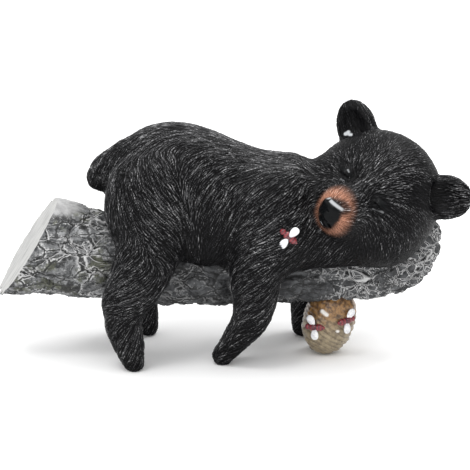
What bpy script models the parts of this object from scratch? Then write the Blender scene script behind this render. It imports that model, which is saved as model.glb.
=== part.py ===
"""A bear cub asleep on a branch, with a beehive hung below and three bees: one painted resin casting.

The casting stands on its four paws and the foot of the hive. Units are metres, +Z is up, +X runs along
the branch to the cub's head, and -Y is the side that the face looks to. The cub's pose is drawn on a
grid of GRID_STEPS steps to the whole length, so a point (75, -4, 89) is 75 steps along, 4 to the front
and 89 up.
"""

import math

import bmesh
import bpy
import numpy as np
from mathutils import Matrix, Vector, noise
from mathutils.bvhtree import BVHTree

# Driving sizes, in metres
LENGTH = 0.250
BRANCH_GIRTH = 1.0
HIVE_HEIGHT = 0.037
HIVE_RADIUS = 0.0143
COIL_PITCH = 0.0031
COIL_DEPTH = 0.0007
BEE_LENGTH = 0.0115
BEE_WIDTH = 0.0040
WING_LENGTH = 0.0066
WING_WIDTH = 0.0050
WING_THICKNESS = 0.0018
EAR_THICKNESS = 0.0058
BARK_PLATE = 0.012
PLATE_STRETCH = 0.6
PLATE_EDGE = 0.35
PLATE_WANDER = 0.4
BARK_DEPTH = 0.0017
EMBED = 0.0006
HIVE_SINK = 0.0012

GRID_STEPS = 250
STEP = LENGTH / GRID_STEPS
CLAY_VOXEL = 1.3
INFLUENCE = 34
BEAR_TRIANGLES = 5300
FACE_WEIGHT = 0.3
BRANCH_SIDES = 28
RING_STEPS = 4.4
HIVE_SIDES = 22
BEE_SIDES = 8
# The bee's outline: places along its length from the tail and half widths, as shares
BEE_SHAPE = [
    (-0.5, 0),
    (-0.42, 0.3),
    (-0.24, 0.47),
    (-0.06, 0.36),
    (0.1, 0.5),
    (0.25, 0.3),
    (0.37, 0.4),
    (0.5, 0),
]
FUR_COLOUR = (0.012, 0.012, 0.013, 1.0)


def steps(*values):
    return np.array(values, float)


def unit(vector):
    return vector / np.linalg.norm(vector)


# The head's own directions: where the face looks, where the crown points, and the cub's left
HEAD_CENTRE = steps(75, -3, 89.5)
FACE = unit(steps(-0.394, -0.903, 0.267))
CROWN = unit(steps(0.62, -0.04, 0.79) - steps(0.62, -0.04, 0.79) @ FACE * FACE)
LEFT = np.cross(CROWN, FACE)
HEAD_TURN = np.column_stack([FACE, LEFT, CROWN])
UPRIGHT = np.eye(3)


def on_head(face, left, crown):
    """A point given from the head's centre along the face, the cub's left and the crown."""
    return HEAD_CENTRE + face * FACE + left * LEFT + crown * CROWN


# The clay: each form is melted into those before it over its blend width, or carved out of them
class Ball:
    """An egg-shaped lump with three half axes, turned by a rotation matrix."""

    def __init__(self, centre, radii, blend, turn=UPRIGHT, carve=False):
        self.centre = np.array(centre, float)
        self.radii = np.array(radii, float)
        self.blend = blend
        self.turn = turn
        self.carve = carve

    def reach(self):
        return self.centre, self.radii.max()

    def distance(self, points):
        local = (points - self.centre) @ self.turn / self.radii
        near = np.linalg.norm(local, axis=1)
        slope = np.linalg.norm(local / self.radii, axis=1)
        return near * (near - 1) / np.maximum(slope, 1e-9)

    def lumps(self):
        size = Matrix.Diagonal((*self.radii, 1))
        turn = Matrix(self.turn.tolist()).to_4x4()
        return [Matrix.Translation(self.centre.tolist()) @ turn @ size]


class Limb:
    """A round limb through a smooth line of points, each with its own radius."""

    def __init__(self, points, blend, fineness=4, carve=False):
        rows = smooth_line(np.array(points, float), fineness)
        self.line = rows[:, :3]
        self.thick = rows[:, 3]
        self.blend = blend
        self.carve = carve

    def reach(self):
        centre = (self.line.min(0) + self.line.max(0)) / 2
        far = np.linalg.norm(self.line - centre, axis=1) + self.thick
        return centre, far.max()

    def distance(self, points):
        best = np.full(len(points), np.inf)
        for i in range(len(self.line) - 1):
            start = self.line[i]
            along = self.line[i + 1] - start
            share = np.clip((points - start) @ along / (along @ along), 0, 1)
            away = np.linalg.norm(points - start - share[:, None] * along, axis=1)
            thick = self.thick[i] + share * (self.thick[i + 1] - self.thick[i])
            best = np.minimum(best, away - thick)
        return best

    def lumps(self):
        return [
            Matrix.Translation(p.tolist()) @ Matrix.Diagonal((r, r, r, 1))
            for p, r in zip(self.line, self.thick)
        ]


def smooth_line(rows, fineness):
    """A Catmull-Rom curve through the rows, so that a limb bends without corners."""
    padded = np.vstack([2 * rows[0] - rows[1], rows, 2 * rows[-1] - rows[-2]])
    made = []
    for i in range(1, len(padded) - 2):
        before, start, end, after = padded[i - 1 : i + 3]
        for k in range(fineness):
            t = k / fineness
            made.append(
                0.5
                * (
                    2 * start
                    + (end - before) * t
                    + (2 * before - 5 * start + 4 * end - after) * t**2
                    + (3 * start - before - 3 * end + after) * t**3
                )
            )
    made.append(rows[-1])
    return np.array(made)


def torso():
    return [
        Ball((-33.5, 0, 94), (35.8, 33, 33), 1),
        Ball((-7, 0, 84.5), (43, 31, 31), 16),
        Ball((25, 0, 77), (28, 31, 28), 14),
        Ball((-14, 0, 65.4), (25, 26, 14), 8),
        Ball((30, -2, 97.3), (11.5, 17, 13), 7),
        Limb([(22, 0, 82, 23), (43, -1, 78, 21.5), (60, -2, 76, 21)], 6),
        Limb([(30, -12, 68, 15), (52, -14, 66, 13)], 10),
        Limb([(-57, 0, 105.9, 11.7), (-66, 0, 101.8, 10.1), (-71.7, 0, 98, 7.2)], 4),
    ]


def hind_leg(side, foot):
    """side is -1 for the leg in front; foot moves the paw along the branch."""
    y = side
    return [
        Ball((-45, 20 * y, 87), (23.3, 17.5, 29), 4),
        Limb(
            [
                (-43.2, 22 * y, 70, 17),
                (-48, 25 * y, 57, 15.8),
                (-53 + foot / 2, 26.5 * y, 46.5, 14.2),
                (-57.6 + foot, 27.5 * y, 38, 12.4),
            ],
            5,
        ),
        Limb(
            [
                (-60.2 + foot, 28.5 * y, 35, 8.8),
                (-59 + foot, 29 * y, 25, 9.4),
                (-56.3 + foot, 29 * y, 14, 7.9),
                (-54 + foot, 28.5 * y, 4.4, 5.6),
            ],
            3,
        ),
    ]


def near_foreleg():
    return [
        Ball((19, -19, 80), (20, 15, 26), 9),
        Limb(
            [
                (20, -21, 70, 17),
                (11, -26, 54, 14.2),
                (10.3, -28.5, 42, 12),
                (8.2, -27.8, 29, 9.8),
                (0.3, -23.5, 15.6, 7.2),
                (-7, -18.5, 4.2, 5.4),
            ],
            6,
        ),
    ]


def far_foreleg():
    return [
        Ball((21, 19, 80), (20, 15, 26), 9),
        Limb(
            [
                (24, 21, 70, 17),
                (31, 26, 52, 14.5),
                (38, 29, 38, 12),
                (41, 30, 25, 10.5),
                (40, 29, 14, 9),
                (37.5, 28, 4.6, 5.8),
            ],
            6,
        ),
    ]


def skull():
    return [
        Ball(HEAD_CENTRE, (32, 34.4, 34), 8, HEAD_TURN),
        Ball(on_head(6, 15, -12), (20, 19, 18), 12, HEAD_TURN),
        Ball(on_head(6, -14, -12), (20, 18, 18), 12, HEAD_TURN),
        Limb([(*on_head(18, 0, -8), 17), (*on_head(29, 0.4, -10), 14), (*on_head(35, 0.6, -11), 12)], 7),
        Limb([(*on_head(14, 0, -18), 12), (*on_head(33, 0.6, -16.5), 8.5)], 4),
        Limb([(*on_head(43.5, -5, -12), 2.6), (*on_head(45.5, -0.6, -11.6), 3.2), (*on_head(43.5, 3.8, -12), 2.6)], 1.5),
        Ball(on_head(43, -0.6, -15.5), (3.8, 4.4, 4.4), 1.5, HEAD_TURN),
    ]


def eye(side):
    """A shallow socket with a closed lid in it."""
    return [
        Ball(on_head(33.5, 12.2 * side, 4.8), (6, 8, 5), 5, HEAD_TURN, carve=True),
        Ball(on_head(26.2, 12 * side, 3.4), (4.2, 5.6, 3.0), 1.5, HEAD_TURN),
    ]


def ear(side, lean, length, breadth):
    """A thick round ear on the side of the crown, hollowed at the front."""
    out = side * math.cos(math.radians(lean)) * LEFT + math.sin(math.radians(lean)) * CROWN
    across = np.cross(FACE, out)
    turn = np.column_stack([out, across, FACE])
    thick = EAR_THICKNESS / STEP
    middle = HEAD_CENTRE + 37 * out
    return [
        Ball(middle - 1.5 * FACE, (length, breadth, thick), 3.5, turn),
        Ball(middle + out + (thick - 0.5) * FACE, (length - 5, breadth - 3.3, thick), 1.5, turn, carve=True),
    ]


def mouth():
    return [
        Limb(
            [(*on_head(38, -6.5, -20.5), 1), (*on_head(43.5, -0.6, -20), 1), (*on_head(38, 5.6, -20.5), 1)],
            0.8,
            carve=True,
        )
    ]


def cub():
    forms = torso()
    forms += hind_leg(-1, 0) + hind_leg(1, 5)
    forms += near_foreleg() + far_foreleg()
    forms += skull()
    forms += eye(-1) + eye(1)
    forms += ear(-1, 29.5, 15.8, 10.8) + ear(1, 39, 14.4, 11.6)
    return forms + mouth()


def clay_distance(forms, points):
    """How far each point is outside the melted forms, in steps."""
    field = np.full(len(points), 1e3)
    for form in forms:
        centre, radius = form.reach()
        close = np.linalg.norm(points - centre, axis=1) < radius + INFLUENCE
        if not close.any():
            continue
        far = form.distance(points[close])
        old = field[close]
        if form.carve:
            overlap = np.maximum(form.blend - np.abs(-far - old), 0) / form.blend
            field[close] = np.maximum(old, -far) + overlap**2 * form.blend / 4
        else:
            overlap = np.maximum(form.blend - np.abs(far - old), 0) / form.blend
            field[close] = np.minimum(old, far) - overlap**2 * form.blend / 4
    return field


def press_to_clay(mesh, forms, rounds):
    """Moves every vertex along the slope of the field until it lies on the clay's skin."""
    points = np.empty(len(mesh.vertices) * 3)
    mesh.vertices.foreach_get("co", points)
    points = points.reshape(-1, 3)
    reach = 0.4
    for _ in range(rounds):
        here = clay_distance(forms, points)
        slope = np.empty_like(points)
        for axis in range(3):
            nudge = np.zeros(3)
            nudge[axis] = reach
            slope[:, axis] = (clay_distance(forms, points + nudge) - here) / reach
        steep = np.maximum((slope**2).sum(1), 0.2)
        move = (here / steep)[:, None] * slope
        length = np.linalg.norm(move, axis=1, keepdims=True)
        points -= move * np.minimum(1, 2 / np.maximum(length, 1e-9))
    mesh.vertices.foreach_set("co", points.ravel())
    mesh.update()


def mesh_object(name, bm):
    mesh = bpy.data.meshes.new(name)
    bm.to_mesh(mesh)
    bm.free()
    made = bpy.data.objects.new(name, mesh)
    bpy.context.scene.collection.objects.link(made)
    return made


def settle(made):
    """Replaces an object's mesh by what its modifiers make of it."""
    graph = bpy.context.evaluated_depsgraph_get()
    mesh = bpy.data.meshes.new_from_object(made.evaluated_get(graph))
    made.modifiers.clear()
    made.data = mesh


def remesh(made, voxel):
    modifier = made.modifiers.new("Remesh", "REMESH")
    modifier.mode = "VOXEL"
    modifier.voxel_size = voxel
    settle(made)


def sculpt_cub():
    """Lumps for every form, fused, pressed to the melted skin and thinned out."""
    forms = cub()
    bm = bmesh.new()
    for form in forms:
        if form.carve:
            continue
        for place in form.lumps():
            bmesh.ops.create_icosphere(bm, subdivisions=3, radius=1, matrix=place)
    made = mesh_object("cub", bm)
    for _ in range(2):
        remesh(made, CLAY_VOXEL)
        press_to_clay(made.data, forms, 3)
    spare = made.vertex_groups.new(name="spare")
    for v in made.data.vertices:
        away = (v.co - Vector(on_head(28, 0, -4))).length
        spare.add([v.index], min(1, max(FACE_WEIGHT, (away - 16) / 16)), "REPLACE")
    thin = made.modifiers.new("Decimate", "DECIMATE")
    thin.vertex_group = spare.name
    thin.vertex_group_factor = 1
    triangles = 2 * len(made.data.polygons)
    thin.ratio = BEAR_TRIANGLES / triangles
    thin.use_collapse_triangulate = True
    settle(made)
    made.data.transform(Matrix.Scale(STEP, 4))
    return made


# The branch: its middle line and radius, in steps, from beyond the saw cut to the broken tip
BRANCH_LINE = [
    (-136, 0, 65, 31.0),
    (-112, 0, 61, 27.6),
    (-93, 0, 59, 25.7),
    (-70, 0, 53.6, 23.2),
    (-45, 0, 49.5, 20.8),
    (-20, 0, 46.8, 19.6),
    (20, 0, 46, 17.8),
    (50, 0, 46, 16.5),
    (74, 1, 47.2, 15.8),
    (88, 2, 50, 15.3),
    (95.4, 4, 57, 14.3),
    (97.6, 5, 65, 12.6),
    (97, 5, 70.5, 10.6),
]
SAW_POINT = steps(-111.5, 0, 59.5)
SAW_NORMAL = unit(steps(-0.835, -0.08, 0.53))


def bark_rise(point):
    """How far the bark stands out at a point of the branch, in metres: plates with sunk edges."""
    place = Vector(point) / BARK_PLATE
    place.x *= PLATE_STRETCH
    wander = [noise.noise(place + Vector((0, 0, 31 * axis))) for axis in (1, 2, 3)]
    near = noise.voronoi(place + PLATE_WANDER * Vector(wander))[0]
    edge = min(1.0, (near[1] - near[0]) / PLATE_EDGE)
    plate = edge * edge * (3 - 2 * edge)
    swell = noise.noise(place * 0.8 + Vector((7, 0, 0)))
    return BARK_DEPTH * (plate - 0.8 + 0.7 * swell)


def branch_rows():
    """Evenly spaced places along the branch, each with its radius, in steps."""
    rows = smooth_line(np.array(BRANCH_LINE, float), 12)
    spans = np.linalg.norm(np.diff(rows[:, :3], axis=0), axis=1)
    run = np.concatenate([[0], np.cumsum(spans)])
    stops = np.linspace(0, run[-1], int(run[-1] / RING_STEPS) + 1)
    return np.column_stack([np.interp(stops, run, rows[:, k]) for k in range(4)])


def build_branch():
    """Rings one after another along the middle line, closed at both ends and cut off by the saw."""
    rows = branch_rows()
    side = Vector((0, 1, 0))
    bm = bmesh.new()
    rings = []
    for i, row in enumerate(rows):
        ahead = rows[min(i + 1, len(rows) - 1)][:3] - rows[max(i - 1, 0)][:3]
        up = Vector(ahead).normalized().cross(side).normalized()
        centre = Vector(row[:3]) * STEP
        ring = []
        for k in range(BRANCH_SIDES):
            turn = 2 * math.pi * k / BRANCH_SIDES
            out = math.cos(turn) * side - math.sin(turn) * up
            place = centre + out * row[3] * STEP * BRANCH_GIRTH
            ring.append(bm.verts.new(place + out * bark_rise(place)))
        rings.append(ring)
    for low, high in zip(rings, rings[1:]):
        for k in range(BRANCH_SIDES):
            after = (k + 1) % BRANCH_SIDES
            bm.faces.new((low[k], low[after], high[after], high[k]))
    bm.faces.new(rings[0])
    bm.faces.new(rings[-1])
    bmesh.ops.recalc_face_normals(bm, faces=bm.faces[:])
    saw = bmesh.ops.bisect_plane(
        bm,
        geom=bm.verts[:] + bm.edges[:] + bm.faces[:],
        plane_co=SAW_POINT * STEP,
        plane_no=SAW_NORMAL,
        clear_outer=True,
    )
    rim = [g for g in saw["geom_cut"] if isinstance(g, bmesh.types.BMEdge)]
    bmesh.ops.contextual_create(bm, geom=rim)
    bmesh.ops.recalc_face_normals(bm, faces=bm.faces[:])
    return mesh_object("branch", bm)


# The hive: its foot on the ground and the way that it leans, up into the branch
HIVE_FOOT = steps(45.5, -1.5, 0)
HIVE_LEAN = unit(steps(9, 1.5, 33))
HIVE_SHAPE = [(0, 0.0), (0.05, 0.42), (0.16, 0.72), (0.33, 0.94), (0.52, 1.0), (0.7, 0.97), (0.86, 0.82), (1, 0.5)]


def hive_turn():
    """The hive's own frame: its middle line as Z, from its foot."""
    up = Vector(HIVE_LEAN)
    side = Vector((0, 1, 0)).cross(up).normalized()
    ahead = up.cross(side)
    turn = Matrix((side, ahead, up)).transposed().to_4x4()
    foot = Vector(HIVE_FOOT) * STEP - Vector((0, 0, HIVE_SINK / 2))
    return Matrix.Translation(foot) @ turn


def hive_radius(height):
    shares = np.array(HIVE_SHAPE)
    return HIVE_RADIUS * np.interp(height / HIVE_HEIGHT, shares[:, 0], shares[:, 1])


def build_hive():
    """A straw skep: one profile of coils spun about the hive's middle line."""
    bm = bmesh.new()
    coils = round(HIVE_HEIGHT / COIL_PITCH)
    heights = np.linspace(0, HIVE_HEIGHT, 2 * coils + 1)
    line = [bm.verts.new((0, 0, 0))]
    for k, height in enumerate(heights[1:], start=1):
        groove = COIL_DEPTH if k % 2 == 0 else 0
        radius = max(hive_radius(height) - groove, 0)
        line.append(bm.verts.new((radius, 0, height)))
    line.append(bm.verts.new((0, 0, HIVE_HEIGHT)))
    for low, high in zip(line, line[1:]):
        bm.edges.new((low, high))
    bmesh.ops.spin(
        bm,
        geom=bm.verts[:] + bm.edges[:],
        cent=(0, 0, 0),
        axis=(0, 0, 1),
        angle=2 * math.pi,
        steps=HIVE_SIDES,
        use_merge=True,
    )
    bmesh.ops.remove_doubles(bm, verts=bm.verts[:], dist=1e-6)
    bmesh.ops.recalc_face_normals(bm, faces=bm.faces[:])
    bm.transform(hive_turn())
    return mesh_object("hive", bm)


# Each bee: where it sits as seen from the front, the way its head points, and its two wing angles
SHOULDER_BEE = dict(x=27.5, z=76, heading=138, wings=(48, -128))
HIVE_BEES = [
    dict(x=42.6, z=18.4, heading=180, wings=(118, -90)),
    dict(x=59, z=22, heading=9, wings=(52, -84)),
]


def seat_of(tree, x, z):
    """The point and outward direction of the surface at x, z, seen from the front."""
    start = Vector((x * STEP, -LENGTH, z * STEP))
    point, normal, _, _ = tree.ray_cast(start, Vector((0, 1, 0)))
    return point, normal


def bee_forms(tree, x, z, heading, wings):
    """A body in three lobes and two paddle wings, each pressed a little into what it sits on."""
    point, normal = seat_of(tree, x, z)
    out = (normal + Vector((0, -0.6, 0))).normalized()
    right = out.cross(Vector((0, 0, -1))).normalized()
    up = out.cross(right)

    def frame(angle, rise, run):
        """The bee's frame turned by an angle seen from the front, moved out and along."""
        turn = math.radians(angle)
        along = math.cos(turn) * right + math.sin(turn) * up
        across = out.cross(along)
        place = point + rise * out + run * along
        return Matrix.Translation(place) @ Matrix((along, across, out)).transposed().to_4x4()

    body = bmesh.new()
    line = [body.verts.new((BEE_LENGTH * run, 0, BEE_WIDTH * wide)) for run, wide in BEE_SHAPE]
    for low, high in zip(line, line[1:]):
        body.edges.new((low, high))
    bmesh.ops.spin(
        body,
        geom=body.verts[:] + body.edges[:],
        cent=(0, 0, 0),
        axis=(1, 0, 0),
        angle=2 * math.pi,
        steps=BEE_SIDES,
        use_merge=True,
    )
    bmesh.ops.remove_doubles(body, verts=body.verts[:], dist=1e-6)
    bmesh.ops.recalc_face_normals(body, faces=body.faces[:])
    body.transform(frame(heading, BEE_WIDTH * 0.3 - EMBED, 0))
    forms = [mesh_object("bee", body)]
    for angle in wings:
        wing = bmesh.new()
        place = frame(angle, WING_THICKNESS * 0.1 - EMBED, BEE_WIDTH * 0.2 + WING_LENGTH * 0.5)
        size = Matrix.Diagonal((WING_LENGTH * 0.5, WING_WIDTH * 0.5, WING_THICKNESS * 0.5, 1))
        bmesh.ops.create_uvsphere(wing, u_segments=10, v_segments=6, radius=1, matrix=place @ size)
        forms.append(mesh_object("wing", wing))
    return forms


def fuse(base, other):
    """Makes other one body with base."""
    join = base.modifiers.new("Join", "BOOLEAN")
    join.operation = "UNION"
    join.solver = "EXACT"
    join.object = other
    settle(base)
    bpy.data.objects.remove(other)


def cut_flats(casting):
    """Planes the paws and the hive's foot off at the ground."""
    bm = bmesh.new()
    bmesh.ops.create_cube(bm, size=1, matrix=Matrix.Translation((0, 0, -0.5)))
    floor = mesh_object("floor", bm)
    cut = casting.modifiers.new("Flats", "BOOLEAN")
    cut.operation = "DIFFERENCE"
    cut.object = floor
    settle(casting)
    bpy.data.objects.remove(floor)


def centre_on_origin(casting):
    """Moves the casting so that the middle of its footprint is over the origin."""
    corners = [Vector(corner) for corner in casting.bound_box]
    middle = (corners[0] + corners[6]) / 2
    casting.data.transform(Matrix.Translation((-middle.x, -middle.y, 0)))


def paint(casting):
    material = bpy.data.materials.new("painted_resin")
    material.use_nodes = True
    shader = material.node_tree.nodes["Principled BSDF"]
    shader.inputs["Base Color"].default_value = FUR_COLOUR
    shader.inputs["Roughness"].default_value = 0.45
    shader.inputs["Metallic"].default_value = 0.0
    casting.data.materials.clear()
    casting.data.materials.append(material)


def main():
    for old in list(bpy.data.objects):
        bpy.data.objects.remove(old)
    casting = sculpt_cub()
    cub_tree = BVHTree.FromObject(casting, bpy.context.evaluated_depsgraph_get())
    hive = build_hive()
    hive_tree = BVHTree.FromObject(hive, bpy.context.evaluated_depsgraph_get())
    fuse(casting, build_branch())
    fuse(casting, hive)
    bees = bee_forms(cub_tree, **SHOULDER_BEE)
    for place in HIVE_BEES:
        bees += bee_forms(hive_tree, **place)
    for form in bees:
        fuse(casting, form)
    cut_flats(casting)
    centre_on_origin(casting)
    casting.name = "bear_figurine"
    paint(casting)


if __name__ == "__main__":
    main()
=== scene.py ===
"""A bear cub asleep on a sawn branch, dressed for the camera: fur, bark, a straw hive and three bees.

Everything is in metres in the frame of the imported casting. The cub's clay is drawn on the casting's own
grid of one-millimetre steps, and GRID_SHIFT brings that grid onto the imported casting.
"""

import math

import bmesh
import bpy
import numpy as np
from mathutils import Matrix, Vector, noise
from mathutils.bvhtree import BVHTree


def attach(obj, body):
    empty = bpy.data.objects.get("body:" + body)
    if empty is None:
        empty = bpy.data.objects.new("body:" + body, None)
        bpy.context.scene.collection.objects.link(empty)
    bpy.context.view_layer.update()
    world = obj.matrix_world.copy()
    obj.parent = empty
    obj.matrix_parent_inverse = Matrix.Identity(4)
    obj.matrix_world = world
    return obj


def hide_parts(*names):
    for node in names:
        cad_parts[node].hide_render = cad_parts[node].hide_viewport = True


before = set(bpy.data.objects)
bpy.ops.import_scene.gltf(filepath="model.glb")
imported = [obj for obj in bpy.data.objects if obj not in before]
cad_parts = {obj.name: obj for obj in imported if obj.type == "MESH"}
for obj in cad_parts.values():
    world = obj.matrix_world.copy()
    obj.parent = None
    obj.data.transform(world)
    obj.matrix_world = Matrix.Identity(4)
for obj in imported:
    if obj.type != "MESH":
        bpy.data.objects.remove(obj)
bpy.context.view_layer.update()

# The casting's sizes, in metres, and the ear's thickness in steps of the clay's grid
STEP = 0.001
GRID_SHIFT = Vector((0.00268, 0.0024945, 0))
HIVE_HEIGHT = 0.037
HIVE_RADIUS = 0.0143
COIL_PITCH = 0.0031
GROOVE_DEPTH = 0.0009
HIVE_SINK = 0.0012
BEE_LENGTH = 0.0115
BEE_WIDTH = 0.0040
WING_LENGTH = 0.0066
WING_WIDTH = 0.0050
WING_THICKNESS = 0.0018
EAR_THICKNESS = 5.8
BARK_PLATE = 0.012
BARK_DEPTH = 0.0017
BEE_SINK = 0.0006
WING_LIFT = 0.0003

# How finely the skin is made, in steps, and how far beyond its own size a form is still felt
CLAY_VOXEL = 1.3
SKIN_VOXEL = 0.92
INFLUENCE = 34

# How the fur is drawn out along its lie: the length of a hop, in steps, and the hops each way
HOP = 0.5
STROKE_HOPS = 6
SHORT_HOPS = 4
LOCK_HOPS = 15


def steps(*values):
    return np.array(values, float)


def unit(vector):
    return vector / np.linalg.norm(vector)


# The head's own directions: where the face looks, where the crown points, and the cub's left
HEAD_CENTRE = steps(75, -3, 89.5)
FACE = unit(steps(-0.394, -0.903, 0.267))
CROWN = unit(steps(0.62, -0.04, 0.79) - steps(0.62, -0.04, 0.79) @ FACE * FACE)
LEFT = np.cross(CROWN, FACE)
HEAD_TURN = np.column_stack([FACE, LEFT, CROWN])
UPRIGHT = np.eye(3)


def on_head(face, left, crown):
    """A point given from the head's centre along the face, the cub's left and the crown."""
    return HEAD_CENTRE + face * FACE + left * LEFT + crown * CROWN


# The clay: each form is melted into those before it over its blend width, or carved out of them
class Ball:
    """An egg-shaped lump with three half axes, turned by a rotation matrix."""

    def __init__(self, centre, radii, blend, turn=UPRIGHT, carve=False):
        self.centre = np.array(centre, float)
        self.radii = np.array(radii, float)
        self.blend = blend
        self.turn = turn
        self.carve = carve

    def reach(self):
        return self.centre, self.radii.max()

    def distance(self, points):
        local = (points - self.centre) @ self.turn / self.radii
        near = np.linalg.norm(local, axis=1)
        slope = np.linalg.norm(local / self.radii, axis=1)
        return near * (near - 1) / np.maximum(slope, 1e-9)

    def lumps(self):
        size = Matrix.Diagonal((*self.radii, 1))
        turn = Matrix(self.turn.tolist()).to_4x4()
        return [Matrix.Translation(self.centre.tolist()) @ turn @ size]


class Limb:
    """A round limb through a smooth line of points, each with its own radius."""

    def __init__(self, points, blend, fineness=4, carve=False):
        rows = smooth_line(np.array(points, float), fineness)
        self.line = rows[:, :3]
        self.thick = rows[:, 3]
        self.blend = blend
        self.carve = carve

    def reach(self):
        centre = (self.line.min(0) + self.line.max(0)) / 2
        far = np.linalg.norm(self.line - centre, axis=1) + self.thick
        return centre, far.max()

    def distance(self, points):
        best = np.full(len(points), np.inf)
        for i in range(len(self.line) - 1):
            start = self.line[i]
            along = self.line[i + 1] - start
            share = np.clip((points - start) @ along / (along @ along), 0, 1)
            away = np.linalg.norm(points - start - share[:, None] * along, axis=1)
            thick = self.thick[i] + share * (self.thick[i + 1] - self.thick[i])
            best = np.minimum(best, away - thick)
        return best

    def lumps(self):
        return [
            Matrix.Translation(p.tolist()) @ Matrix.Diagonal((r, r, r, 1))
            for p, r in zip(self.line, self.thick)
        ]


def smooth_line(rows, fineness):
    """A Catmull-Rom curve through the rows, so that a limb bends without corners."""
    padded = np.vstack([2 * rows[0] - rows[1], rows, 2 * rows[-1] - rows[-2]])
    made = []
    for i in range(1, len(padded) - 2):
        before, start, end, after = padded[i - 1 : i + 3]
        for k in range(fineness):
            t = k / fineness
            made.append(
                0.5
                * (
                    2 * start
                    + (end - before) * t
                    + (2 * before - 5 * start + 4 * end - after) * t**2
                    + (3 * start - before - 3 * end + after) * t**3
                )
            )
    made.append(rows[-1])
    return np.array(made)


def torso():
    return [
        Ball((-33.5, 0, 94), (35.8, 33, 33), 1),
        Ball((-7, 0, 84.5), (43, 31, 31), 16),
        Ball((25, 0, 77), (28, 31, 28), 14),
        Ball((-14, 0, 65.4), (25, 26, 14), 8),
        Ball((30, -2, 97.3), (11.5, 17, 13), 7),
        Limb([(22, 0, 82, 23), (43, -1, 78, 21.5), (60, -2, 76, 21)], 6),
        Limb([(30, -12, 68, 15), (52, -14, 66, 13)], 10),
        Limb([(-57, 0, 105.9, 11.7), (-66, 0, 101.8, 10.1), (-71.7, 0, 98, 7.2)], 4),
    ]


def hind_leg(side, foot):
    """side is -1 for the leg in front; foot moves the paw along the branch."""
    y = side
    thigh = [
        (-43.2, 22 * y, 70, 17),
        (-48, 25 * y, 57, 15.8),
        (-53 + foot / 2, 26.5 * y, 46.5, 14.2),
        (-57.6 + foot, 27.5 * y, 38, 12.4),
    ]
    shank = [
        (-60.2 + foot, 28.5 * y, 35, 8.8),
        (-59 + foot, 29 * y, 25, 9.4),
        (-56.3 + foot, 29 * y, 14, 7.9),
        (-54 + foot, 28.5 * y, 4.4, 5.6),
    ]
    return [Ball((-45, 20 * y, 87), (23.3, 17.5, 29), 4), Limb(thigh, 5), Limb(shank, 3)]


def near_foreleg():
    arm = [
        (20, -21, 70, 17),
        (11, -26, 54, 14.2),
        (10.3, -28.5, 42, 12),
        (8.2, -27.8, 29, 9.8),
        (0.3, -23.5, 15.6, 7.2),
        (-7, -18.5, 4.2, 5.4),
    ]
    return [Ball((19, -19, 80), (20, 15, 26), 9), Limb(arm, 6)]


def far_foreleg():
    arm = [
        (24, 21, 70, 17),
        (31, 26, 52, 14.5),
        (38, 29, 38, 12),
        (41, 30, 25, 10.5),
        (40, 29, 14, 9),
        (37.5, 28, 4.6, 5.8),
    ]
    return [Ball((21, 19, 80), (20, 15, 26), 9), Limb(arm, 6)]


def skull():
    bridge = [(*on_head(18, 0, -8), 17), (*on_head(29, 0.4, -10), 14), (*on_head(35, 0.6, -11), 12)]
    chin = [(*on_head(14, 0, -18), 12), (*on_head(33, 0.6, -16.5), 8.5)]
    nose_pad = [
        (*on_head(43.5, -5, -12), 2.6),
        (*on_head(45.5, -0.6, -11.6), 3.2),
        (*on_head(43.5, 3.8, -12), 2.6),
    ]
    return [
        Ball(HEAD_CENTRE, (32, 34.4, 34), 8, HEAD_TURN),
        Ball(on_head(6, 15, -12), (20, 19, 18), 12, HEAD_TURN),
        Ball(on_head(6, -14, -12), (20, 18, 18), 12, HEAD_TURN),
        Limb(bridge, 7),
        Limb(chin, 4),
        Limb(nose_pad, 1.5),
        Ball(on_head(43, -0.6, -15.5), (3.8, 4.4, 4.4), 1.5, HEAD_TURN),
    ]


def eye(side):
    """A shallow socket with a closed lid in it."""
    return [
        Ball(on_head(33.5, 12.2 * side, 4.8), (6, 8, 5), 5, HEAD_TURN, carve=True),
        Ball(on_head(26.2, 12 * side, 3.4), (4.2, 5.6, 3.0), 1.5, HEAD_TURN),
    ]


def ear_directions(side, lean):
    """The way an ear stands out from the head, and its breadth."""
    out = side * math.cos(math.radians(lean)) * LEFT + math.sin(math.radians(lean)) * CROWN
    return out, np.cross(FACE, out)


def ear(side, lean, length, breadth):
    """A thick round ear on the side of the crown, hollowed at the front."""
    out, across = ear_directions(side, lean)
    turn = np.column_stack([out, across, FACE])
    middle = HEAD_CENTRE + 37 * out
    hollow = middle + out + (EAR_THICKNESS - 0.5) * FACE
    return [
        Ball(middle - 1.5 * FACE, (length, breadth, EAR_THICKNESS), 3.5, turn),
        Ball(hollow, (length - 5, breadth - 3.3, EAR_THICKNESS), 1.5, turn, carve=True),
    ]


def mouth():
    """A fine groove under the nose, from corner to corner."""
    corners = on_head(38, -6.5, -20.5), on_head(43.5, -0.6, -20), on_head(38, 5.6, -20.5)
    return [Limb([(*corner, 1) for corner in corners], 0.8, carve=True)]


# Each ear: its side, how far it leans towards the crown in degrees, its half length and half breadth
RIGHT_EAR = (-1, 29.5, 15.8, 10.8)
LEFT_EAR = (1, 39, 14.4, 11.6)


def cub():
    forms = torso()
    forms += hind_leg(-1, 0) + hind_leg(1, 5)
    forms += near_foreleg() + far_foreleg()
    forms += skull()
    forms += eye(-1) + eye(1)
    forms += ear(*RIGHT_EAR) + ear(*LEFT_EAR)
    return forms + mouth()


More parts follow.
